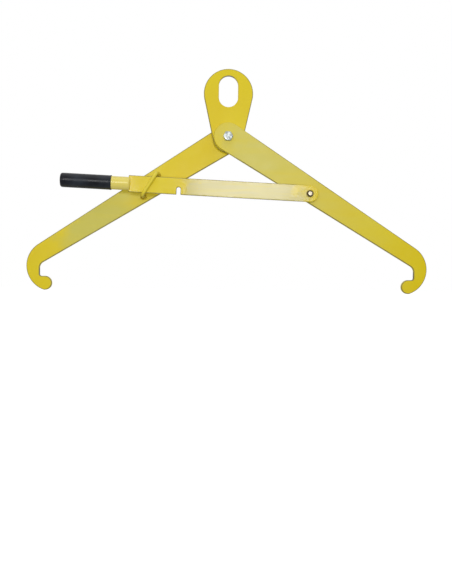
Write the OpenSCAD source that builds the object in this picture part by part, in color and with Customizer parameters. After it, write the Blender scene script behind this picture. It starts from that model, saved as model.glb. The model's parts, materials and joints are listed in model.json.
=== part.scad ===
// Drum lifter: two hooked arms on one pivot bolt under an eye plate, and a notched tie bar
// that turns on the right arm and slides through a keeper staple on the left arm.
// Front is -Y, up is +Z, and the origin is the centre of the eye slot's upper arc.

/* [Eye plate] */
// Plate thickness
eye_t = 12; // [8:0.5:20]
// Radius of the wide upper end
eye_head_r = 60; // [52:0.5:80]
// Radius of the narrow lower end, round the pivot
eye_foot_r = 37; // [28:0.5:48]
// Height of the upper end's centre above the pivot
eye_rise = 106.5; // [85:0.5:150]
// Width of the slot
slot_w = 47; // [30:0.5:60]
// Distance between the centres of the slot's two arcs
slot_run = 29; // [10:0.5:40]
// Metal left above the slot
eye_crown = 16.5; // [12:0.5:28]

/* [Arms] */
// Plate thickness
arm_t = 10; // [6:0.5:16]
// Radius of the round end at the pivot
arm_root_r = 34.5; // [28:0.5:46]
// Half width where the hook begins
arm_tip_half = 22; // [18:0.5:32]
// Distance along the arm from the pivot to the hook
arm_run = 533; // [420:1:640]
// Slope of the arms below level, at rest
arm_angle = 32.2; // [26:0.1:40]

/* [Hooks] */
// Outer radius of the bend
hook_r = 63; // [52:0.5:76]
// Metal between the throat and the outside of the bend
hook_neck = 32; // [26:0.5:42]
// Radius of the corner at the top of the throat
throat_r = 16.5; // [6:0.5:20]
// Depth of the beak's seat below the centre of the bend
beak_drop = 25.5; // [18:0.5:34]
// Height of the beak
beak_h = 34; // [22:0.5:38]
// Length of the beak past the throat's wall
beak_reach = 30; // [24:0.5:40]
// Radius of the corner between the throat's wall and the beak
seat_r = 5; // [2:0.5:8]

/* [Main pivot] */
// Bolt diameter
main_d = 14; // [10:1:24]
// Width across the flats of the bolt head and the nut
main_af = 21; // [17:0.5:36]
// Height of the bolt head
main_head_h = 9; // [6:0.5:15]
// Height of the lock nut
main_nut_h = 14; // [10:0.5:24]
// Outer diameter of the washer under the nut
main_washer_d = 28; // [24:0.5:44]
// Thickness of the washer under the nut
main_washer_t = 2.5; // [1:0.1:5]
// Outer diameter of the thrust washers between the plates
thrust_d = 50; // [34:1:66]
// Thickness of the thrust washers between the plates
thrust_t = 1.5; // [0.5:0.1:4]

/* [Tie bar] */
// Height of the flat bar
bar_h = 40; // [30:0.5:50]
// Thickness of the flat bar
bar_t = 8; // [5:0.5:12]
// Distance of the bar's pivot from the main pivot, along the right arm
bar_pivot_along = 242; // [200:1:280]
// Distance of the bar's pivot below the right arm's centre line
bar_pivot_below = 9; // [0:0.5:12]
// Distance from the staple to the shoulder at the handle
handle_gap = 50.5; // [40:0.5:90]
// Distance from the staple to the notch, at rest
notch_gap = 70.5; // [50:0.5:110]
// Width of the notch
notch_w = 10; // [8.5:0.5:16]
// Depth of the notch
notch_depth = 18; // [9:0.5:22]
// Length of the tongue that goes into the handle tube
tongue_len = 35; // [15:1:60]

/* [Bar pivot] */
// Bolt diameter
bar_bolt_d = 8; // [6:1:14]
// Width across the flats of the bolt head and the nut
bar_bolt_af = 13; // [10:0.5:22]
// Height of the bolt head
bar_head_h = 5.5; // [4:0.5:10]
// Height of the lock nut
bar_nut_h = 8; // [6:0.5:14]
// Outer diameter of the washers
bar_washer_d = 17; // [14:0.5:32]
// Thickness of the washer under the nut
bar_washer_t = 1.6; // [1:0.1:3]
// Thickness of the thrust washer between the bar and the arm
bar_thrust_t = 1.5; // [0.5:0.1:4]

/* [Keeper staple] */
// Rod diameter
rod_d = 8; // [5:0.5:8]
// Bend radius at the middle of the rod
rod_bend_r = 11; // [8:0.5:16]
// Distance of the staple from the main pivot, along the left arm
keeper_out = 223.3; // [200:0.1:260]
// Distance of the staple's middle below the left arm's centre line
keeper_below = 0.9; // [-6:0.1:6]
// Angle between the left arm and the line between the staple's feet
keeper_turn = 25.1; // [15:0.1:35]
// Height of the staple's middle above the bar's middle
keeper_rise = 0.8; // [-1:0.1:2]
// Room between the rod and each edge of the bar
keeper_play = 3.1; // [2:0.1:6]
// Room between the rod and the front of the bar
keeper_front_play = 2.5; // [1:0.1:8]
// Leg of the weld round each foot
staple_weld = 4.5; // [2:0.1:7]

/* [Handle] */
// Outer diameter of the tube
tube_d = 32; // [25:0.5:38]
// Wall of the tube
tube_wall = 2.5; // [1.5:0.1:4]
// Length of the tube
tube_len = 160; // [140:1:220]
// Length of tube left bare beside the bar
tube_bare = 41; // [20:1:80]
// Wall of the grip round the tube
grip_wall = 1.2; // [0.8:0.1:4]
// Thickness of the grip's closed end
grip_end_t = 3; // [1:0.1:6]
// Radius of the grip's outer rim at its closed end
grip_edge_r = 1; // [0.3:0.1:2]
// Length of the weld between the tube and the bar
handle_weld = 3.5; // [2:0.1:8]

/* [Fits] */
// Free play between flat faces that turn on each other
turn_play = 0.2; // [0.1:0.05:0.5]
// Radial clearance of the pivot bolts in their bores
bore_play = 0.08; // [0.02:0.01:0.1]
// Radial clearance of washers, nuts and the grip
slip_play = 0.2; // [0.05:0.05:0.5]
// Bolt left showing past a lock nut
bolt_proud = 3; // [1:0.5:8]

/* [Hidden] */
$fn = 96;

// Overshoot of the cuts that go through a face
over = 1;

// Depth by which straight edges cross the circles they run into, so that they meet cleanly
end_bite = 0.05;

// Proportions of the hexagons and the bolt's tip, as shares of their width or diameter
hex_face_share = 0.475;
bolt_tip_share = 0.1;

// Proportions of the lock nuts, as shares of the width across flats or the height
collar_share = 0.94;
nut_hex_share = 0.65;
insert_share = 0.25;
lip_share = 0.08;

// Colours of the finishes
paint = [0.83, 0.75, 0.22];
zinc = [0.76, 0.79, 0.76];
vinyl = [0.13, 0.14, 0.16];
nylon = [0.88, 0.88, 0.84];

// Heights above the main pivot, and the pivot's place below the origin
slot_rise = eye_rise + eye_head_r - eye_crown - slot_w / 2;
pivot_z = -slot_rise;

// Depths of the three plates and of what lies on them, from the middle of the eye plate
plate_gap = thrust_t + 2 * turn_play;
right_back = -eye_t / 2 - plate_gap;
right_front = right_back - arm_t;
left_front = eye_t / 2 + plate_gap;
left_back = left_front + arm_t;
main_head_y = right_front - turn_play;
main_washer_y = left_back + turn_play;
main_nut_y = main_washer_y + main_washer_t;
bar_back = right_front - bar_thrust_t - 2 * turn_play;
bar_front = bar_back - bar_t;
bar_mid = (bar_back + bar_front) / 2;
bar_head_y = bar_front - turn_play;
bar_nut_y = right_back + bar_washer_t;

// Angle between an arm's edges and its centre line, and the edges' distance from it at the hook
arm_taper = asin((arm_root_r - arm_tip_half) / arm_run);
arm_edge = (arm_root_r - arm_run * sin(arm_taper)) / cos(arm_taper);

function turned(p, a) = [p.x * cos(a) - p.y * sin(a), p.x * sin(a) + p.y * cos(a)];

// Places in the right arm's own plane, from the main pivot: x to the right, y up
arm_end_top = turned([arm_run, arm_edge], -arm_angle);
bend_c = arm_end_top - turned([0, hook_r], -arm_angle - arm_taper);
arm_end_low = turned([arm_run, -arm_edge], -arm_angle);
root_top = turned([0, arm_root_r - end_bite], -arm_angle - arm_taper);
root_low = turned([0, end_bite - arm_root_r], arm_taper - arm_angle);
low_edge = arm_end_low - root_low;
low_edge_angle = atan2(low_edge.y, low_edge.x);
throat_x = bend_c.x + hook_r - hook_neck;
throat_top = [throat_x, arm_end_low.y + (throat_x - arm_end_low.x) * tan(low_edge_angle)];
beak_top = bend_c.y - beak_drop;
beak_mid = beak_top - beak_h / 2;
bar_pivot = turned([bar_pivot_along, -bar_pivot_below], -arm_angle);

// Whole number of tenths, for lengths whose ends have to meet exactly
function tenths(v) = round(10 * v) / 10;

// The staple sits on the left arm, and the bar runs from its pivot through the staple
keeper_c = turned([-keeper_out, -keeper_below], arm_angle);
bar_run = bar_pivot - keeper_c + [0, keeper_rise];
bar_tilt = atan2(-bar_run.y, bar_run.x);
keeper_along = norm(bar_run);
bar_len = tenths(keeper_along + handle_gap);
notch_along = tenths(keeper_along - notch_gap);

// The staple crosses the bar at an angle, so its span is longer than the bar is high
keeper_angle = arm_angle + keeper_turn;
keeper_span = tenths((bar_h + rod_d + 2 * keeper_play) / sin(keeper_angle + bar_tilt));
keeper_top_y = bar_front - keeper_front_play - rod_d / 2;

// The tongue's corners fit in the tube's bore
tube_bore = tube_d - 2 * tube_wall;
tongue_h = sqrt(pow(tube_bore, 2) - pow(bar_t, 2)) - 2 * slip_play;
grip_d = tube_d + 2 * (slip_play + grip_wall);

// Flat plate in the plane of the arms, from its back face forward
module plate(back, t) {
    translate([0, back, pivot_z]) rotate([90, 0, 0]) linear_extrude(t) children();
}

// Puts a piece that is drawn along +Z on a pivot, with +Z pointing back from y
module on_pivot(at, y) {
    translate([at.x, y, pivot_z + at.y]) rotate([-90, 0, 0]) children();
}

// Puts a piece that is drawn along +X on the tie bar, from its pivot towards the handle
module along_bar() {
    translate([bar_pivot.x, bar_mid, pivot_z + bar_pivot.y])
        rotate([0, bar_tilt, 0]) mirror([1, 0, 0]) children();
}

// Puts a piece on the keeper's middle, with +X along the line between its feet
module on_keeper() {
    translate([keeper_c.x, 0, pivot_z + keeper_c.y]) rotate([0, -keeper_angle, 0]) children();
}

// Round end of a radius, joined by tangents to a second one that is a distance above it
module pear_2d(r_low, r_high, rise) {
    lean = asin((r_high - r_low) / rise);
    low = (r_low - end_bite) * [cos(lean), -sin(lean)];
    high = (r_high - end_bite) * [cos(lean), -sin(lean)] + [0, rise];
    circle(r_low);
    translate([0, rise]) circle(r_high);
    polygon([low, high, [-high.x, high.y], [-low.x, low.y]]);
}

module slot_2d(w, run) {
    for (y = [0, -run]) translate([0, y]) circle(d = w);
    translate([-w / 2, -run]) square([w, run]);
}

// Fills the inner corner at p, between edges that leave it at angles a and b
module corner_fill_2d(p, a, b, r) {
    half = abs(a - b) / 2;
    reach = r / tan(half);
    bisector = [cos((a + b) / 2), sin((a + b) / 2)];
    centre = p + r / sin(half) * bisector;
    difference() {
        polygon([
            p - r * bisector, p + reach * [cos(a), sin(a)],
            centre, p + reach * [cos(b), sin(b)],
        ]);
        translate(centre) circle(r + end_bite);
    }
}

// Neck and beak of the hook, cut from the disc of its outer bend
module hook_2d() {
    nose_x = throat_x - beak_reach + beak_h / 2;
    intersection() {
        translate(bend_c) circle(hook_r);
        union() {
            polygon([
                [nose_x, beak_top - beak_h], [throat_x + hook_neck, beak_top - beak_h],
                [throat_x + hook_neck, bend_c.y + hook_r], [throat_x, bend_c.y + hook_r],
                [throat_x, beak_top], [nose_x, beak_top],
            ]);
            translate([nose_x, beak_mid]) circle(beak_h / 2);
        }
    }
    corner_fill_2d(throat_top, 180 + low_edge_angle, 270, throat_r);
    corner_fill_2d([throat_x, beak_top], 90, 180, seat_r);
}

// Outline of the right arm: its edges are tangents of the root, and the lower one ends in the throat
module arm_2d() {
    difference() {
        union() {
            circle(arm_root_r);
            polygon([root_low, throat_top, arm_end_top, root_top]);
            hook_2d();
        }
        circle(d = main_d + 2 * bore_play);
    }
}

module ring(d_out, d_in, h) {
    difference() {
        cylinder(d = d_out, h = h);
        translate([0, 0, -over]) cylinder(d = d_in, h = h + 2 * over);
    }
}

// Hexagon with its corners turned off at both ends, or at the far end only
module hexagon(af, h, both_ends) {
    corner_r = af / 2 / cos(30);
    face_r = hex_face_share * af;
    turned_off = (corner_r - face_r) * tan(30);
    low_r = both_ends ? face_r : corner_r;
    intersection() {
        cylinder(r = corner_r, h = h, $fn = 6);
        rotate_extrude() polygon([
            [0, 0], [low_r, 0], [corner_r, both_ends ? turned_off : 0],
            [corner_r, h - turned_off], [face_r, h], [0, h],
        ]);
    }
}

// Bolt along +Z, with the seat of its head at the origin
module hex_bolt(d, af, head_h, shank) {
    tip = bolt_tip_share * d;
    mirror([0, 0, 1]) hexagon(af, head_h, false);
    cylinder(d = d, h = shank - tip);
    translate([0, 0, shank - tip]) cylinder(d1 = d, d2 = d - 2 * tip, h = tip);
}

function insert_d(d, af) = (d + af) / 2;
function insert_h(h) = insert_share * h;
function nut_lip(h) = lip_share * h;

// Lock nut along +Z from its seat, with a round collar that holds the insert
module lock_nut(d, af, h) {
    hole_d = d + 2 * slip_play;
    pocket_z = h - nut_lip(h) - insert_h(h);
    difference() {
        union() {
            hexagon(af, nut_hex_share * h, true);
            cylinder(d = collar_share * af, h = h);
        }
        translate([0, 0, -over]) cylinder(d = hole_d, h = h + 2 * over);
        translate([0, 0, pocket_z]) cylinder(d = insert_d(d, af), h = insert_h(h));
        translate([0, 0, pocket_z]) cylinder(d = insert_d(d, af) - 2 * nut_lip(h), h = h);
    }
}

module lock_insert(d, af, h) {
    translate([0, 0, h - nut_lip(h) - insert_h(h)])
        ring(insert_d(d, af), d + 2 * slip_play, insert_h(h));
}

module eye_plate() {
    color(paint) plate(eye_t / 2, eye_t) difference() {
        pear_2d(eye_foot_r, eye_head_r, eye_rise);
        circle(d = main_d + 2 * bore_play);
        translate([0, slot_rise]) slot_2d(slot_w, slot_run);
    }
}

module main_pivot_bolt() {
    shank = main_nut_y + main_nut_h + bolt_proud - main_head_y;
    color(zinc) on_pivot([0, 0], main_head_y) hex_bolt(main_d, main_af, main_head_h, shank);
}

module main_pivot_nut() {
    color(zinc) on_pivot([0, 0], main_nut_y) lock_nut(main_d, main_af, main_nut_h);
}

module main_nut_insert() {
    color(nylon) on_pivot([0, 0], main_nut_y) lock_insert(main_d, main_af, main_nut_h);
}

module main_back_washer() {
    color(zinc) on_pivot([0, 0], main_washer_y)
        ring(main_washer_d, main_d + 2 * slip_play, main_washer_t);
}

module front_thrust_washer() {
    color(nylon) on_pivot([0, 0], right_back + turn_play)
        ring(thrust_d, main_d + 2 * slip_play, thrust_t);
}

module rear_thrust_washer() {
    color(nylon) on_pivot([0, 0], eye_t / 2 + turn_play)
        ring(thrust_d, main_d + 2 * slip_play, thrust_t);
}

module right_arm() {
    color(paint) plate(right_back, arm_t) difference() {
        arm_2d();
        translate(bar_pivot) circle(d = bar_bolt_d + 2 * bore_play);
    }
}

module left_arm() {
    color(paint) plate(left_back, arm_t) mirror([1, 0]) arm_2d();
}

module bar_pivot_bolt() {
    shank = bar_nut_y + bar_nut_h + bolt_proud - bar_head_y;
    color(zinc) on_pivot(bar_pivot, bar_head_y)
        hex_bolt(bar_bolt_d, bar_bolt_af, bar_head_h, shank);
}

module bar_pivot_nut() {
    color(zinc) on_pivot(bar_pivot, bar_nut_y) lock_nut(bar_bolt_d, bar_bolt_af, bar_nut_h);
}

module bar_nut_insert() {
    color(nylon) on_pivot(bar_pivot, bar_nut_y) lock_insert(bar_bolt_d, bar_bolt_af, bar_nut_h);
}

module bar_back_washer() {
    color(zinc) on_pivot(bar_pivot, right_back)
        ring(bar_washer_d, bar_bolt_d + 2 * slip_play, bar_washer_t);
}

module bar_thrust_washer() {
    color(nylon) on_pivot(bar_pivot, right_front - bar_thrust_t - turn_play)
        ring(bar_washer_d, bar_bolt_d + 2 * slip_play, bar_thrust_t);
}

// Rod bent to a U: two legs from the left arm's face and a front that passes over the bar
module keeper_staple() {
    leg_x = keeper_span / 2;
    bend_y = keeper_top_y + rod_bend_r;
    front_half = leg_x - rod_bend_r;
    color(paint) on_keeper() {
        for (side = [1, -1]) {
            translate([side * leg_x, bend_y, 0]) rotate([-90, 0, 0])
                cylinder(d = rod_d, h = left_front - bend_y);
            translate([side * front_half, bend_y, 0]) rotate([0, 0, side > 0 ? -90 : 180])
                rotate_extrude(angle = 90) translate([rod_bend_r, 0]) circle(d = rod_d);
        }
        translate([-front_half, keeper_top_y, 0]) rotate([0, 90, 0])
            cylinder(d = rod_d, h = 2 * front_half);
    }
}

// Fillet welds round the feet of the staple
module staple_welds() {
    color(paint) on_keeper() for (side = [1, -1])
        translate([side * keeper_span / 2, left_front, 0]) rotate([90, 0, 0])
            rotate_extrude() translate([rod_d / 2, 0])
                polygon([[0, 0], [staple_weld, 0], [0, staple_weld]]);
}

module tie_bar() {
    notch_r = notch_w / 2;
    color(paint) along_bar() translate([0, bar_t / 2, 0]) rotate([90, 0, 0])
        linear_extrude(bar_t) difference() {
            union() {
                circle(d = bar_h);
                translate([0, -bar_h / 2]) square([bar_len, bar_h]);
                translate([bar_len, -tongue_h / 2]) square([tongue_len, tongue_h]);
            }
            circle(d = bar_bolt_d + 2 * bore_play);
            translate([notch_along, notch_depth - notch_r - bar_h / 2]) circle(notch_r);
            translate([notch_along - notch_r, -bar_h]) square([notch_w, bar_h / 2 + notch_depth - notch_r]);
        }
}

module handle_tube() {
    color(paint) along_bar() translate([bar_len, 0, 0]) rotate([0, 90, 0])
        ring(tube_d, tube_bore, tube_len);
}

// Sleeve with a closed end, pulled over the tube
module handle_grip() {
    bore_r = tube_d / 2 + slip_play;
    outer_r = grip_d / 2;
    cover = tube_len - tube_bare;
    total = cover + grip_end_t;
    color(vinyl) along_bar() translate([bar_len + tube_bare, 0, 0]) rotate([0, 90, 0])
        rotate_extrude() difference() {
            union() {
                square([outer_r, total - grip_edge_r]);
                square([outer_r - grip_edge_r, total]);
                translate([outer_r - grip_edge_r, total - grip_edge_r]) circle(grip_edge_r);
            }
            translate([-outer_r, -over]) square([outer_r + bore_r, cover + over]);
        }
}

// Welds that close the mouth of the tube on the front and the back of the bar
module handle_welds() {
    color(paint) along_bar() difference() {
        translate([bar_len - handle_weld, 0, 0]) rotate([0, 90, 0])
            cylinder(d1 = tube_bore, d2 = tube_d, h = handle_weld);
        translate([0, -bar_t / 2, -tube_d]) cube([2 * bar_len, bar_t, 2 * tube_d]);
    }
}

eye_plate();
main_pivot_bolt();
main_pivot_nut();
main_nut_insert();
main_back_washer();
front_thrust_washer();
rear_thrust_washer();
right_arm();
bar_pivot_bolt();
bar_pivot_nut();
bar_nut_insert();
bar_back_washer();
bar_thrust_washer();
left_arm();
keeper_staple();
staple_welds();
tie_bar();
handle_tube();
handle_grip();
handle_welds();
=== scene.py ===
import json
import math

import bmesh
import bpy
from mathutils import Matrix, Vector, noise


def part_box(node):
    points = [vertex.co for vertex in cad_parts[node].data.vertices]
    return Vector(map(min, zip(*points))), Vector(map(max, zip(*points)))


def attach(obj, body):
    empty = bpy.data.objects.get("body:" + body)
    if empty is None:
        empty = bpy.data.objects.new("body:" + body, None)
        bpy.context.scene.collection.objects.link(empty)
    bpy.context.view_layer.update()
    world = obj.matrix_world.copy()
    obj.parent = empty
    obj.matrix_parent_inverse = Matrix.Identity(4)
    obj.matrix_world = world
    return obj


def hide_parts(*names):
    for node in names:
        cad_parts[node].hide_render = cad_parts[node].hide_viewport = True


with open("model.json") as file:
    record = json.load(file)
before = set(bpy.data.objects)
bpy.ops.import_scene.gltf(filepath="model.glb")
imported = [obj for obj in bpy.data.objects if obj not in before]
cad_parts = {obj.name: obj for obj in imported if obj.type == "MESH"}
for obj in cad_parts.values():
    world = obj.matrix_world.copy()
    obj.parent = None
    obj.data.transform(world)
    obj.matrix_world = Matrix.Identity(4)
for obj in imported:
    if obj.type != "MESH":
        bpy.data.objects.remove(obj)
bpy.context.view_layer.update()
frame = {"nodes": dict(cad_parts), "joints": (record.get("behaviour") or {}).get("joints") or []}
nodes = frame["nodes"]
joints = {joint["name"]: joint for joint in frame["joints"]}
mainPivot = Vector(joints["arms_open"]["pos_m"])
barPivot = Vector(joints["tie_bar_swing"]["pos_m"])
print("frame:", len(nodes), "nodes")

# The camera stands at the photograph's distance, a little below the arms. Angles are in degrees.
viewpoint = {
    "place": (-0.0446, -1.7784, -0.4665),
    "pitchDown": 1.219,
    "yawRight": 1.430,
    "roll": 0.687,
    "lens": 44.57,
    "sensor": 36.0,  # covers the picture's long side
}


def makeCamera(spec):
    lens = bpy.data.cameras.new("photoLens")
    lens.lens, lens.sensor_width = spec["lens"], spec["sensor"]
    camera = bpy.data.objects.new("photoCamera", lens)
    turn = (Matrix.Rotation(-math.radians(spec["yawRight"]), 4, "Z")
            @ Matrix.Rotation(math.radians(90 - spec["pitchDown"]), 4, "X")
            @ Matrix.Rotation(math.radians(spec["roll"]), 4, "Z"))
    camera.matrix_world = Matrix.Translation(spec["place"]) @ turn
    bpy.context.scene.collection.objects.link(camera)
    bpy.context.scene.camera = camera


makeCamera(viewpoint)
bpy.context.scene.view_settings.view_transform = "Standard"
print("camera set")


# Adds a node, links the sockets it is given and sets the rest
def put(tree, kind, sockets=None, **settings):
    node = tree.nodes.new("ShaderNode" + kind)
    for key, value in settings.items():
        setattr(node, key, value)
    for key, value in (sockets or {}).items():
        if isinstance(value, bpy.types.NodeSocket):
            tree.links.new(value, node.inputs[key])
        else:
            node.inputs[key].default_value = value
    return node


def startMaterial(name):
    material = bpy.data.materials.new(name)
    material.use_nodes = True
    tree = material.node_tree
    place = put(tree, "TexCoord").outputs["Object"]
    return material, tree, tree.nodes["Principled BSDF"], place


# Where most of a noise's values lie, for soft and for strong contrast
softSpan = (0.3, 0.7)
strongSpan = (0.35, 0.65)


def speckle(tree, place, scale, detail=3.0, stretch=None):
    if stretch:
        place = put(tree, "Mapping", {"Vector": place, "Scale": stretch}).outputs[0]
    return put(tree, "TexNoise", {"Vector": place, "Scale": scale, "Detail": detail}).outputs["Fac"]


# Turns one range of a value into another, and holds the ends
def between(tree, value, low, high, first=0.0, last=1.0):
    return put(tree, "MapRange", {"Value": value, "From Min": low, "From Max": high,
                                  "To Min": first, "To Max": last}).outputs["Result"]


def combine(tree, how, a, b):
    return put(tree, "Math", {0: a, 1: b}, operation=how).outputs[0]


def blendColour(tree, factor, a, b):
    return put(tree, "Mix", {0: factor, 6: a, 7: b}, data_type="RGBA").outputs[2]


def blendValue(tree, factor, a, b):
    return put(tree, "Mix", {0: factor, 2: a, 3: b}).outputs[0]


def raised(tree, height, depth, under=None):
    sockets = {"Height": height, "Distance": depth}
    if under:
        sockets["Normal"] = under
    return put(tree, "Bump", sockets).outputs[0]


def distance(tree, place, centre):
    return put(tree, "VectorMath", {0: place, 1: centre}, operation="DISTANCE").outputs["Value"]


# 1 at the given places, 0 past their radius
def nearPlaces(tree, place, spots):
    total = 0.0
    for centre, radius in spots:
        near = between(tree, distance(tree, place, centre), radius / 2, radius, 1.0, 0.0)
        total = combine(tree, "MAXIMUM", total, near)
    return total


# Gloss enamel sprayed on flame-cut plate. Scales are per metre, depths in metres.
yellowEnamel = {
    "yellow": (0.69, 0.558, 0.013, 1.0),
    "deepYellow": (0.67, 0.515, 0.009, 1.0),
    "shine": (0.30, 0.42),
    "specular": 0.28,
    "cloudScale": 7.0,
    "waveScale": 9.0,
    "waveDepth": 0.0004,
    "peelScale": 650.0,
    "peelDepth": 0.00002,
    "dragScale": 520.0,
    "dragDepth": 0.00014,
    "chipScale": 230.0,
    "glossFineness": 5,
    "edgeSpan": (0.35, 0.75),
    "dragStretch": (1.0, 0.06, 1.0),
    "streakStretch": (0.06, 1.0, 1.0),
    "streakSpan": (0.2, 0.6),
    "streakLeast": 0.6,
    "smearScale": 28.0,
    "smearReach": 0.025,
    "chipFade": 0.03,
    "rubSpan": (1.05, 1.25),
    "bare": (0.20, 0.17, 0.14, 1.0),
    "bareDull": 0.5,
    "rust": (0.15, 0.055, 0.018, 1.0),
    "rustSpan": (1.0, 1.5),
    "rustSpread": 1.2,
    "rustMost": 0.85,
    "rustDull": 0.75,
    # Painted shade in a ring round a bolt head, broken into patches
    "ringShade": (0.075, 0.050, 0.025, 1.0),
    "ringShadeSpan": (0.3, 0.5),
    "ringShadeLeast": 0.7,
    "ringShadeMost": 0.9,
    "ringShadeDull": 0.7,
}
# The steel is polished at the top of the slot
eyeEnamel = dict(yellowEnamel, shine=(0.34, 0.46), bare=(0.45, 0.42, 0.32, 1.0))
# Painted highlight: pale glare painted onto stretches of the arms and of the bar, with smeared ends and
# streaks; places are along X
leftEnamel = dict(yellowEnamel, shine=(0.32, 0.42), paintedGlare=(0.56, 0.505, 0.08, 1.0), streakScale=60.0,
                  glareFrom=(-0.425, -0.365), glareTo=(-0.260, -0.150))
rightEnamel = dict(yellowEnamel, shine=(0.33, 0.43), paintedGlare=(0.60, 0.53, 0.105, 1.0), streakScale=60.0,
                   glareFrom=(-0.060, 0.030), glareTo=(0.080, 0.470))
barEnamel = dict(yellowEnamel, shine=(0.15, 0.20), specular=0.42, paintedGlare=(0.51, 0.44, 0.135, 1.0),
                 streakScale=160.0, glareFrom=(-0.108, -0.078), glareTo=(0.170, 0.196))
# The tube's paint is paler than the plates': painted highlight that lightens the whole tube
tubeEnamel = dict(yellowEnamel, shine=(0.20, 0.26), specular=0.7,
                  yellow=(0.78, 0.67, 0.17, 1.0), deepYellow=(0.75, 0.63, 0.13, 1.0))
# The staple rod's paint is a little paler: painted light that lifts the rod's shaded sides
stapleEnamel = dict(yellowEnamel, shine=(0.40, 0.50), yellow=(0.72, 0.61, 0.06, 1.0))
# Two tones of painted shade on the rims, darker than the faces
rimShadeTones = [(0.36, 0.31, 0.06, 1.0), (0.28, 0.23, 0.04, 1.0)]


# Rubbed and rusty places are centres with a radius. Ringed places, which get a ring of painted shade, and
# places where the rims' painted shade is left off, are centres with two radii, between which they fade.
def enamel(name, finish, chipFrom=None, rubbed=(), rusty=(), ringed=(), rimShade=None, unshadedRims=()):
    material, tree, paint, place = startMaterial(name)
    paint.inputs["Specular IOR Level"].default_value = finish["specular"]
    cloud = between(tree, speckle(tree, place, finish["cloudScale"]), *strongSpan)
    colour = blendColour(tree, cloud, finish["yellow"], finish["deepYellow"])
    # Painted highlight: a pale glare over a stretch along X, its ends smeared and broken into streaks
    if "paintedGlare" in finish:
        along = put(tree, "SeparateXYZ", {0: place}).outputs["X"]
        smear = speckle(tree, place, finish["smearScale"], 5.0)
        reach = finish["smearReach"]
        along = combine(tree, "ADD", along, between(tree, smear, *softSpan, -reach, reach))
        pale = combine(tree, "MULTIPLY", between(tree, along, *finish["glareFrom"]),
                       between(tree, along, *finish["glareTo"], 1.0, 0.0))
        streaks = speckle(tree, place, finish["streakScale"], 4.0, finish["streakStretch"])
        streaks = between(tree, streaks, *finish["streakSpan"], finish["streakLeast"], 1.0)
        pale = combine(tree, "MULTIPLY", pale, streaks)
        colour = blendColour(tree, pale, colour, finish["paintedGlare"])
    # Painted shade: the rims are darkened, except round the places where it is left off
    if rimShade:
        show = 1.0
        for centre, inner, outer in unshadedRims:
            away = distance(tree, place, centre)
            show = combine(tree, "MINIMUM", show, between(tree, away, inner, outer))
        colour = blendColour(tree, show, colour, blendColour(tree, cloud, *rimShade))
    gloss = speckle(tree, place, finish["cloudScale"] * finish["glossFineness"], 5.0)
    dull = between(tree, gloss, *softSpan, *finish["shine"])

    # Flame cutting leaves lines across the edges of the plate, and none on its faces
    facing = put(tree, "SeparateXYZ", {0: put(tree, "NewGeometry").outputs["Normal"]}).outputs["Y"]
    onEdge = between(tree, combine(tree, "ABSOLUTE", facing, 0.0), *finish["edgeSpan"], 1.0, 0.0)
    drag = speckle(tree, place, finish["dragScale"], 2.0, finish["dragStretch"])
    wave = raised(tree, speckle(tree, place, finish["waveScale"], 1.0), finish["waveDepth"])
    cut = raised(tree, combine(tree, "MULTIPLY", drag, onEdge), finish["dragDepth"], wave)
    peel = raised(tree, speckle(tree, place, finish["peelScale"], 2.0), finish["peelDepth"], cut)

    chips = speckle(tree, place, finish["chipScale"], 6.0)
    worn = between(tree, chips, chipFrom, chipFrom + finish["chipFade"]) if chipFrom else 0.0
    if rubbed:
        rub = combine(tree, "MULTIPLY", nearPlaces(tree, place, rubbed), onEdge)
        rub = between(tree, combine(tree, "ADD", rub, chips), *finish["rubSpan"])
        worn = combine(tree, "MAXIMUM", worn, rub)
    if rubbed or chipFrom:
        colour = blendColour(tree, worn, colour, finish["bare"])
        dull = blendValue(tree, worn, dull, finish["bareDull"])
    if rusty:
        spread = combine(tree, "MULTIPLY", chips, finish["rustSpread"])
        stain = combine(tree, "ADD", nearPlaces(tree, place, rusty), spread)
        stain = between(tree, stain, *finish["rustSpan"], 0.0, finish["rustMost"])
        colour = blendColour(tree, stain, colour, finish["rust"])
        dull = blendValue(tree, stain, dull, finish["rustDull"])
    # Painted shade: a dark ring round a bolt head, broken into patches, that also dulls the gloss
    for centre, inner, outer in ringed:
        away = distance(tree, place, centre)
        patches = between(tree, chips, *finish["ringShadeSpan"], finish["ringShadeLeast"], 1.0)
        ring = between(tree, away, inner, outer, finish["ringShadeMost"], 0.0)
        ringShade = combine(tree, "MULTIPLY", ring, patches)
        colour = blendColour(tree, ringShade, colour, finish["ringShade"])
        dull = blendValue(tree, ringShade, dull, finish["ringShadeDull"])
    tree.links.new(colour, paint.inputs["Base Color"])
    tree.links.new(dull, paint.inputs["Roughness"])
    tree.links.new(peel, paint.inputs["Normal"])
    return material


brightZinc = {
    "zinc": (0.70, 0.75, 0.74, 1.0),
    "clouded": (0.42, 0.46, 0.45, 1.0),
    "shine": (0.42, 0.58),
    "cloudScale": 160.0,
    "grainScale": 1500.0,
    "grainDepth": 0.00001,
    "headEdgeShade": (0.15, 0.11, 0.06, 1.0),
    "headEdgeShadeFade": 0.0008,
    "headEdgeShadeDull": 0.6,
    "unshadedRadius": 0.0046,
}
# Zinc tinted warm and pale: painted highlight on the bar bolt's face
highlightTintedZinc = dict(brightZinc, zinc=(0.92, 0.83, 0.62, 1.0), clouded=(0.66, 0.58, 0.42, 1.0))


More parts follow.
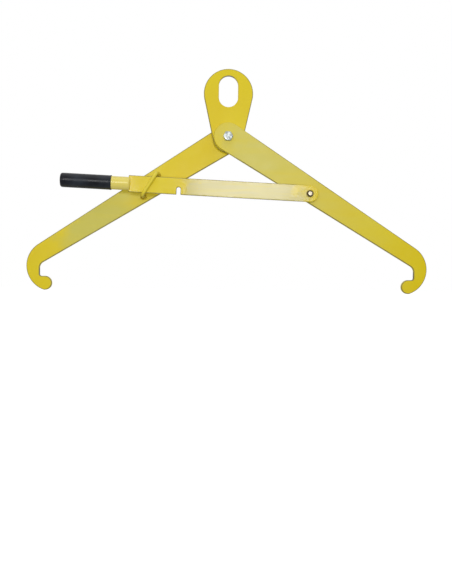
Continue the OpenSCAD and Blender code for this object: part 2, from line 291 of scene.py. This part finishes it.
# Plating. Where a bolt's axis is given, the head is darkened outside a radius round the axis: painted
# shade on the head's edge.
def zincPlate(name, finish, axis=None):
    material, tree, plate, place = startMaterial(name)
    cloud = between(tree, speckle(tree, place, finish["cloudScale"], 4.0), *strongSpan)
    colour = blendColour(tree, cloud, finish["zinc"], finish["clouded"])
    dull = between(tree, cloud, 0.0, 1.0, *finish["shine"])
    # Painted shade on the head's edge, outside a radius round the bolt's axis
    if axis:
        flat = put(tree, "Mapping", {"Vector": place, "Scale": (1.0, 0.0, 1.0)}).outputs[0]
        away = distance(tree, flat, (axis.x, 0.0, axis.z))
        shadedEdge = between(tree, away, finish["unshadedRadius"], finish["unshadedRadius"] + finish["headEdgeShadeFade"])
        colour = blendColour(tree, shadedEdge, colour, finish["headEdgeShade"])
        dull = blendValue(tree, shadedEdge, dull, finish["headEdgeShadeDull"])
    tree.links.new(colour, plate.inputs["Base Color"])
    tree.links.new(dull, plate.inputs["Roughness"])
    grain = raised(tree, speckle(tree, place, finish["grainScale"], 2.0), finish["grainDepth"])
    tree.links.new(grain, plate.inputs["Normal"])
    plate.inputs["Metallic"].default_value = 1.0
    return material


naturalNylon = {
    "nylon": (0.78, 0.77, 0.70, 1.0),
    "aged": (0.66, 0.62, 0.50, 1.0),
    "shine": (0.38, 0.55),
    "cloudScale": 220.0,
    "cloudSpan": (0.35, 0.7),
    "glow": 0.1,
    "glowDepth": (0.001, 0.001, 0.0008),
}


def nylonPlastic(name, finish):
    material, tree, plastic, place = startMaterial(name)
    cloud = between(tree, speckle(tree, place, finish["cloudScale"], 4.0), *finish["cloudSpan"])
    tree.links.new(blendColour(tree, cloud, finish["nylon"], finish["aged"]), plastic.inputs["Base Color"])
    tree.links.new(between(tree, cloud, 0.0, 1.0, *finish["shine"]), plastic.inputs["Roughness"])
    plastic.inputs["Subsurface Weight"].default_value = finish["glow"]
    plastic.inputs["Subsurface Radius"].default_value = finish["glowDepth"]
    return material


blackVinyl = {
    "black": (0.006, 0.007, 0.011, 1.0),
    "dusty": (0.016, 0.021, 0.030, 1.0),
    "shine": (0.30, 0.42),
    "specular": 0.38,
    "cloudScale": 38.0,
    "cloudSpan": (0.4, 0.7),
    "grainScale": 900.0,
    "grainDepth": 0.00003,
}


def gripVinyl(name, finish):
    material, tree, vinyl, place = startMaterial(name)
    cloud = between(tree, speckle(tree, place, finish["cloudScale"], 5.0), *finish["cloudSpan"])
    vinyl.inputs["Specular IOR Level"].default_value = finish["specular"]
    tree.links.new(blendColour(tree, cloud, finish["black"], finish["dusty"]), vinyl.inputs["Base Color"])
    tree.links.new(between(tree, cloud, 0.0, 1.0, *finish["shine"]), vinyl.inputs["Roughness"])
    grain = raised(tree, speckle(tree, place, finish["grainScale"], 3.0), finish["grainDepth"])
    tree.links.new(grain, vinyl.inputs["Normal"])
    return material


zinc = zincPlate("brightZinc", brightZinc)
# The bar bolt: painted highlight in its warm pale zinc, painted shade round its head's edge
barBoltZinc = zincPlate("barBoltZinc", highlightTintedZinc, barPivot)
nylon = nylonPlastic("naturalNylon", naturalNylon)
vinyl = gripVinyl("blackVinyl", blackVinyl)
print("finishes mixed")


# Makes an object of a bmesh, with its materials, body and the nodes it stands for
def finishPiece(bm, name, body, materials, stands=()):
    mesh = bpy.data.meshes.new(name)
    bm.to_mesh(mesh)
    bm.free()
    for material in materials:
        mesh.materials.append(material)
    piece = bpy.data.objects.new(name, mesh)
    bpy.context.scene.collection.objects.link(piece)
    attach(piece, body)
    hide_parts(*stands)
    return piece


mergeDistance = 1e-6
flatAngle, rimAngle = math.radians(0.2), math.radians(40)


def smoothAll(bm):
    for face in bm.faces:
        face.smooth = True


# One bmesh of several, which it frees
def joined(parts):
    whole = bmesh.new()
    for part in parts:
        scratch = bpy.data.meshes.new("scratch")
        part.to_mesh(scratch)
        part.free()
        whole.from_mesh(scratch)
        bpy.data.meshes.remove(scratch)
    return whole


# Copy of a cut plate with its rims rounded, as grinding and paint leave them
def roundedPlate(node, rim, segments=3):
    bm = bmesh.new()
    bm.from_mesh(nodes[node].data)
    bmesh.ops.remove_doubles(bm, verts=bm.verts[:], dist=mergeDistance)
    bmesh.ops.dissolve_limit(bm, angle_limit=flatAngle, verts=bm.verts[:], edges=bm.edges[:])
    rims = [edge for edge in bm.edges if edge.calc_face_angle(0.0) > rimAngle]
    made = bmesh.ops.bevel(bm, geom=rims, offset=rim, offset_type="OFFSET", segments=segments,
                           profile=0.5, affect="EDGES", material=-1, clamp_overlap=False)
    smoothAll(bm)
    for face in bm.faces:
        face.material_index = 0
    for face in made["faces"]:
        face.material_index = 1
    return bm


def evenShading(piece):
    shading = piece.modifiers.new("evenShading", "WEIGHTED_NORMAL")
    shading.weight = 100


stapleLow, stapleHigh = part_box("staple_welds")
beadRadius = 0.0085
stapleFeet = [Vector((stapleLow.x + beadRadius, stapleHigh.y, stapleLow.z + beadRadius)),
              Vector((stapleHigh.x - beadRadius, stapleHigh.y, stapleHigh.z - beadRadius))]

# Plates, with the places where they bear on something and the paint is rubbed through, and the places
# round which the rims' painted shade is left off
plates = {
    "eye_plate": {
        "body": "eye", "finish": eyeEnamel, "rim": 0.0019, "chipFrom": 0.66,
        "rubbed": [((0, 0, 0.0235), 0.022)],
        "unshadedRims": [((0, 0, -0.0145), 0.043, 0.050)],
    },
    "right_arm": {
        "body": "right_arm", "finish": rightEnamel, "rim": 0.0019, "chipFrom": 0.66,
        "rubbed": [((0.4545, -0.0129, -0.4655), 0.024)],
        "unshadedRims": [((mainPivot.x, -0.0129, mainPivot.z), 0.037, 0.074)],
    },
    "left_arm": {
        "body": "left_arm", "finish": leftEnamel, "rim": 0.0019, "chipFrom": 0.66,
        "rubbed": [((-0.4545, 0.0129, -0.4655), 0.024)],
        "rusty": [(foot, 0.011) for foot in stapleFeet],
    },
    "tie_bar": {
        "body": "tie_bar", "finish": barEnamel, "rim": 0.0013, "chipFrom": 0.64,
        "rubbed": [((-0.118, -0.0238, -0.262), 0.014)],
        # painted shade in a ring just outside the bar bolt's head
        "ringed": [((barPivot.x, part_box("tie_bar")[0].y, barPivot.z), 0.0076, 0.0098)],
        "unshadedRims": [(tuple(barPivot), 0.0225, 0.050)],
    },
}
faceChipFrom = 0.78

for node, plate in plates.items():
    wear = {"rubbed": plate["rubbed"], "rusty": plate.get("rusty", ())}
    face = enamel(node + "Paint", plate["finish"], faceChipFrom, ringed=plate.get("ringed", ()), **wear)
    rim = enamel(node + "Rim", plate["finish"], plate["chipFrom"], rimShade=rimShadeTones,
                 unshadedRims=plate.get("unshadedRims", ()), **wear)
    shape = roundedPlate(node, plate["rim"])
    evenShading(finishPiece(shape, node + "Plate", plate["body"], [face, rim], [node]))
print("plates rounded and painted")

# Nuts and washers keep their shape and lose their sharp edges, by the radius that is given
turnedParts = {
    "main_pivot_nut": 0.0003,
    "main_back_washer": 0.0004,
    "bar_pivot_nut": 0.0002,
    "bar_back_washer": 0.0003,
}
for node, rim in turnedParts.items():
    shape = roundedPlate(node, rim, segments=2)
    evenShading(finishPiece(shape, node + "Rounded", "right_arm", [zinc, zinc], [node]))

staplePaint = enamel("staplePaint", stapleEnamel)
nodes["keeper_staple"].data.materials[0] = staplePaint
# The tube and the mouth welds take the tube's paler paint, with its painted highlight
tubePaint = enamel("tubePaint", tubeEnamel)
nodes["handle_tube"].data.materials[0] = tubePaint
for node in ["main_nut_insert", "front_thrust_washer", "rear_thrust_washer",
             "bar_nut_insert", "bar_thrust_washer"]:
    nodes[node].data.materials[0] = nylon


# Grows a ring of faces from open edges, and puts its vertices where shape(angle) says
def growRing(bm, edges, shape):
    made = bmesh.ops.extrude_edge_only(bm, edges=edges)["geom"]
    for vert in (item for item in made if isinstance(item, bmesh.types.BMVert)):
        angle = math.atan2(vert.co.y, vert.co.x)
        radius, height = shape(angle)
        vert.co = (radius * math.cos(angle), radius * math.sin(angle), height)
    return [item for item in made if isinstance(item, bmesh.types.BMEdge) and item.is_boundary]


# Bolts: a hexagon head with a washer face and a dished top, and a rolled thread on the shank's end
bolts = {
    "main_pivot_bolt": {"at": mainPivot, "flats": 0.021, "head": 0.009, "shank": 0.014, "pitch": 0.002,
                        "finish": zinc},
    "bar_pivot_bolt": {"at": barPivot, "flats": 0.013, "head": 0.0055, "shank": 0.008, "pitch": 0.00125,
                       "finish": barBoltZinc},
}
boltShape = {"sides": 72, "face": 0.475, "dish": 0.78, "dishDepth": 0.0004, "washerFace": 0.0004,
             "turns": 6, "stepsPerTurn": 40, "threadDepth": 0.6, "ridgeFoot": 0.9,
             "ridgeShares": (0.06, 0.42, 0.56, 0.94), "sharpAngle": math.radians(35)}


def hexHead(bm, bolt, shape):
    faceRadius = shape["face"] * bolt["flats"]

    def hexRadius(angle):
        return bolt["flats"] / 2 / math.cos(angle % (math.pi / 3) - math.pi / 6)

    def chamferTop(angle):
        radius = hexRadius(angle)
        return radius, -bolt["head"] + (radius - faceRadius) * math.tan(math.pi / 6)

    made = bmesh.ops.create_circle(bm, cap_ends=True, segments=shape["sides"], radius=faceRadius)["verts"]
    edges = [edge for edge in bm.edges if edge.verts[0] in made and edge.verts[1] in made]
    dished = shape["dish"] * faceRadius
    for step in [lambda angle: (faceRadius, -shape["washerFace"]),
                 lambda angle: (hexRadius(angle), -shape["washerFace"]),
                 chamferTop,
                 lambda angle: (faceRadius, -bolt["head"]),
                 lambda angle: (dished, -bolt["head"]),
                 lambda angle: (dished - shape["dishDepth"], -bolt["head"] + shape["dishDepth"])]:
        edges = growRing(bm, edges, step)
    bmesh.ops.contextual_create(bm, geom=edges)


# The thread is a ridge wound on a core, by a spin that climbs
def threadedShank(bm, bolt, shape, length):
    crest = bolt["shank"] / 2
    root = crest - shape["threadDepth"] * bolt["pitch"]
    ridgeLength = (shape["turns"] + 1) * bolt["pitch"]
    plain = length - ridgeLength
    for radius, start, stop in [(crest, 0.0, plain), (root, plain, length)]:
        made = bmesh.ops.create_cone(bm, cap_ends=True, segments=shape["sides"], radius1=radius,
                                     radius2=radius, depth=stop - start)["verts"]
        bmesh.ops.translate(bm, verts=made, vec=(0, 0, (start + stop) / 2))
    foot = shape["ridgeFoot"] * root
    profile = [bm.verts.new((radius, 0, plain + share * bolt["pitch"]))
               for radius, share in zip((foot, crest, crest, foot), shape["ridgeShares"])]
    ridge = [bm.edges.new((profile[i], profile[i - 1])) for i in range(len(profile))]
    steps = shape["turns"] * shape["stepsPerTurn"]
    climb = (0, 0, bolt["pitch"] / shape["stepsPerTurn"])
    bmesh.ops.spin(bm, geom=profile + ridge, axis=(0, 0, 1), cent=(0, 0, 0), dvec=climb,
                   angle=2 * math.pi * shape["turns"], steps=steps)
    bmesh.ops.holes_fill(bm, edges=[edge for edge in bm.edges if edge.is_boundary], sides=0)


def makeBolts():
    for node, bolt in bolts.items():
        low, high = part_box(node)
        seat = low.y + bolt["head"]
        bm = bmesh.new()
        hexHead(bm, bolt, boltShape)
        threadedShank(bm, bolt, boltShape, high.y - seat)
        bmesh.ops.recalc_face_normals(bm, faces=bm.faces[:])
        place = (Matrix.Translation((bolt["at"].x, seat, bolt["at"].z))
                 @ Matrix.Rotation(-math.pi / 2, 4, "X"))
        bmesh.ops.transform(bm, matrix=place, verts=bm.verts[:])
        smoothAll(bm)
        for edge in bm.edges:
            edge.smooth = edge.calc_face_angle(0.0) < boltShape["sharpAngle"]
        finishPiece(bm, node + "Threaded", "right_arm", [bolt["finish"]], [node])


makeBolts()
print("bolts threaded")

# The handle lies on the line from the bar's pivot through the middle of the tube
tubeLow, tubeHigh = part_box("handle_tube")
tubeMiddle = (tubeLow + tubeHigh) / 2
handleWay = (tubeMiddle - barPivot).normalized()
handle = {"tubeLength": 0.160, "tubeRadius": 0.016, "bore": 0.0135, "bare": 0.041, "barThick": 0.008,
          "weldLength": 0.0035}
tubeStart = tubeMiddle - handleWay * handle["tubeLength"] / 2
# Turns +Z to the handle's line, with +Y kept
handleTurn = Matrix((Vector((0, 1, 0)).cross(handleWay), (0, 1, 0), handleWay)).transposed().to_4x4()

# Dipped sleeve, as distance from its mouth and radius: inside, mouth, rolled lip, body and closed end
sleeve = {
    "profile": [(0.1193, 0.0080), (0.1193, 0.0155), (0.1188, 0.0162), (0.0800, 0.0162), (0.0400, 0.0162),
                (0.0060, 0.0162), (0.0006, 0.0163), (0.0, 0.0168), (0.0, 0.0175), (0.0006, 0.0179),
                (0.0024, 0.0179), (0.0034, 0.0174), (0.0060, 0.0173), (0.0400, 0.0173), (0.0800, 0.0173),
                (0.1140, 0.0173), (0.1180, 0.0172), (0.1208, 0.0164), (0.1220, 0.0146), (0.1220, 0.0080)],
    "sides": 48,
}


def makeSleeve(spec):
    bm = bmesh.new()
    line = [bm.verts.new((radius, 0, along)) for along, radius in spec["profile"]]
    edges = [bm.edges.new(pair) for pair in zip(line, line[1:])]
    bmesh.ops.spin(bm, geom=line + edges, axis=(0, 0, 1), cent=(0, 0, 0), angle=2 * math.pi,
                   steps=spec["sides"], use_merge=True)
    bmesh.ops.remove_doubles(bm, verts=bm.verts[:], dist=mergeDistance)
    bmesh.ops.holes_fill(bm, edges=[edge for edge in bm.edges if edge.is_boundary], sides=0)
    bmesh.ops.recalc_face_normals(bm, faces=bm.faces[:])
    place = Matrix.Translation(tubeStart + handleWay * handle["bare"]) @ handleTurn
    bmesh.ops.transform(bm, matrix=place, verts=bm.verts[:])
    smoothAll(bm)
    piece = finishPiece(bm, "gripSleeve", "tie_bar", [vinyl], ["handle_grip"])
    rounding = piece.modifiers.new("rounding", "SUBSURF")
    rounding.levels = rounding.render_levels = 1


makeSleeve(sleeve)
print("grip dipped")

# Weld round each foot of the staple: a rippled ring, with rust that bleeds through the paint
footWeld = {
    "inner": 0.0036,
    "leg": 0.0045,
    # as share of the leg and height
    "outline": [(0.0, -0.0002), (0.5, -0.0002), (1.0, -0.0002), (0.95, 0.0009), (0.72, 0.0022),
                (0.42, 0.0034), (0.0, 0.0042)],
    "sides": 64, "ripples": 9, "rippleDepth": 0.0005, "lump": 0.0006, "lumpScale": 300,
}
rustyPaint = enamel("rustyPaint", yellowEnamel, rusty=[(foot, 0.010) for foot in stapleFeet])


def unevenBead(bm, centre, way, spec):
    for vert in bm.verts:
        out = vert.co - centre
        out -= way * out.dot(way)
        around = math.atan2(out.z, out.x)
        ripple = spec["rippleDepth"] * math.sin(spec["ripples"] * around)
        lump = spec["lump"] * noise.noise(vert.co * spec["lumpScale"])
        vert.co += out.normalized() * (ripple + lump)


def makeFootWelds(spec):
    beads = []
    for foot in stapleFeet:
        bm = bmesh.new()
        loop = [bm.verts.new((foot.x + spec["inner"] + share * spec["leg"], foot.y - up, foot.z))
                for share, up in spec["outline"]]
        edges = [bm.edges.new((loop[i], loop[i - 1])) for i in range(len(loop))]
        bmesh.ops.spin(bm, geom=loop + edges, axis=(0, 1, 0), cent=foot, angle=2 * math.pi,
                       steps=spec["sides"], use_merge=True)
        bmesh.ops.remove_doubles(bm, verts=bm.verts[:], dist=mergeDistance)
        unevenBead(bm, foot, Vector((0, 1, 0)), spec)
        beads.append(bm)
    whole = joined(beads)
    bmesh.ops.recalc_face_normals(whole, faces=whole.faces[:])
    smoothAll(whole)
    finishPiece(whole, "footWelds", "left_arm", [rustyPaint], ["staple_welds"])


makeFootWelds(footWeld)

# Welds that close the tube's mouth in front of the bar and behind it
mouthWeld = {"sides": 72, "rings": 5, "swell": 0.05, "barShare": 0.48,
             "ripples": 11, "rippleDepth": 0.0004, "lump": 0.0007, "lumpScale": 300}


def makeMouthWelds(spec):
    bm = bmesh.new()
    length = handle["weldLength"]
    bmesh.ops.create_cone(bm, cap_ends=True, segments=spec["sides"], radius1=handle["bore"],
                          radius2=handle["tubeRadius"], depth=length)
    slopes = [edge for edge in bm.edges if abs(edge.verts[0].co.z - edge.verts[1].co.z) > length / 2]
    bmesh.ops.subdivide_edges(bm, edges=slopes, cuts=spec["rings"], use_grid_fill=True)
    for vert in bm.verts:
        swell = 1 + spec["swell"] * math.sin(math.pi * (vert.co.z / length + 0.5))
        vert.co.x, vert.co.y = swell * vert.co.x, swell * vert.co.y
    bmesh.ops.translate(bm, verts=bm.verts[:], vec=(0, 0, -length / 2))
    halves = []
    for side in (1, -1):
        half = bm.copy()
        level = side * spec["barShare"] * handle["barThick"]
        cut = bmesh.ops.bisect_plane(half, geom=half.verts[:] + half.edges[:] + half.faces[:],
                                     plane_co=(0, level, 0), plane_no=(0, side, 0),
                                     clear_inner=True)["geom_cut"]
        rim = [item for item in cut if isinstance(item, bmesh.types.BMEdge)]
        bmesh.ops.contextual_create(half, geom=rim)
        halves.append(half)
    bm.free()
    whole = joined(halves)
    unevenBead(whole, Vector((0, 0, 0)), Vector((0, 0, 1)), spec)
    bmesh.ops.transform(whole, matrix=Matrix.Translation(tubeStart) @ handleTurn, verts=whole.verts[:])
    bmesh.ops.recalc_face_normals(whole, faces=whole.faces[:])
    smoothAll(whole)
    finishPiece(whole, "mouthWelds", "tie_bar", [tubePaint], ["handle_welds"])


makeMouthWelds(mouthWeld)
print("welds laid")

# Pale floor under the hanging lifter. It glows a little, and throws no light back up.
floor = {"level": -1.06, "half": 30.0, "pale": (0.80, 0.80, 0.79, 1.0), "darker": 0.98,
         "cloudScale": 0.8, "dull": 0.9, "glow": 0.52}


def makeFloor(spec):
    material, tree, ground, place = startMaterial("paleFloor")
    cloud = between(tree, speckle(tree, place, spec["cloudScale"]), *softSpan)
    darker = [spec["darker"] * c for c in spec["pale"][:3]] + [1.0]
    tree.links.new(blendColour(tree, cloud, spec["pale"], darker), ground.inputs["Base Color"])
    ground.inputs["Roughness"].default_value = spec["dull"]
    ground.inputs["Emission Color"].default_value = (1.0, 1.0, 1.0, 1.0)
    ground.inputs["Emission Strength"].default_value = spec["glow"]
    bm = bmesh.new()
    bmesh.ops.create_grid(bm, x_segments=1, y_segments=1, size=spec["half"])
    bmesh.ops.translate(bm, verts=bm.verts[:], vec=(0, 0, spec["level"]))
    mesh = bpy.data.meshes.new("paleFloor")
    bm.to_mesh(mesh)
    bm.free()
    mesh.materials.append(material)
    sheet = bpy.data.objects.new("paleFloor", mesh)
    sheet.visible_diffuse = sheet.visible_glossy = sheet.visible_shadow = False
    bpy.context.scene.collection.objects.link(sheet)


makeFloor(floor)

# Soft lamps right and left of the camera and one overhead, and even lights that leave no glare
lamps = {
    "rightLamp": {"place": (0.14, -1.77, -0.03), "aim": (0.05, 0.0, -0.24),
                  "size": (0.54, 0.30), "watts": 6},
    "leftLamp": {"place": (-0.66, -1.80, -0.02), "aim": (-0.3, 0.0, -0.25),
                 "size": (0.40, 0.40), "watts": 5},
    "overheadLamp": {"place": (0.3, -0.9, 1.9), "aim": (0.0, 0.0, -0.25),
                     "size": (1.8, 1.2), "watts": 7},
}
evenLights = {
    "frontLight": {"way": (0.0, 1.0, 0.14), "strength": 1.10, "angle": 14},
    "backLight": {"way": (0.15, -1.0, -0.30), "strength": 0.95, "angle": 20},
}
room = {"overhead": 0.9, "level": 0.50, "under": 0.45, "underSpan": (-0.6, 0.0),
        "behindCamera": 0.35, "onwardSpan": (-1.0, 0.3), "seen": 1.0}


def makeLamps(specs):
    for name, spec in specs.items():
        lamp = bpy.data.lights.new(name, "AREA")
        lamp.shape, lamp.energy = "RECTANGLE", spec["watts"]
        lamp.size, lamp.size_y = spec["size"]
        holder = bpy.data.objects.new(name, lamp)
        place = Vector(spec["place"])
        turn = (Vector(spec["aim"]) - place).to_track_quat("-Z", "Y")
        holder.matrix_world = Matrix.Translation(place) @ turn.to_matrix().to_4x4()
        bpy.context.scene.collection.objects.link(holder)


def makeEvenLights(specs):
    for name, spec in specs.items():
        sun = bpy.data.lights.new(name, "SUN")
        sun.energy, sun.angle = spec["strength"], math.radians(spec["angle"])
        holder = bpy.data.objects.new(name, sun)
        holder.rotation_euler = Vector(spec["way"]).to_track_quat("-Z", "Y").to_euler()
        holder.visible_glossy = False
        bpy.context.scene.collection.objects.link(holder)


def makeRoom(spec):
    world = bpy.data.worlds.new("paleRoom")
    world.use_nodes = True
    bpy.context.scene.world = world
    tree = world.node_tree
    glow = tree.nodes["Background"]
    glow.inputs["Color"].default_value = (1.0, 1.0, 1.0, 1.0)
    way = put(tree, "SeparateXYZ", {0: put(tree, "TexCoord").outputs["Generated"]})
    upper = between(tree, way.outputs["Z"], 0.0, 1.0, 0.0, spec["overhead"] - spec["level"])
    lower = between(tree, way.outputs["Z"], *spec["underSpan"], spec["under"], spec["level"])
    height = combine(tree, "ADD", lower, upper)
    onward = between(tree, way.outputs["Y"], *spec["onwardSpan"], spec["behindCamera"], 1.0)
    seen = put(tree, "LightPath").outputs["Is Camera Ray"]
    strength = blendValue(tree, seen, combine(tree, "MULTIPLY", height, onward), spec["seen"])
    tree.links.new(strength, glow.inputs["Strength"])


makeLamps(lamps)
makeEvenLights(evenLights)
makeRoom(room)
print("stage lit")
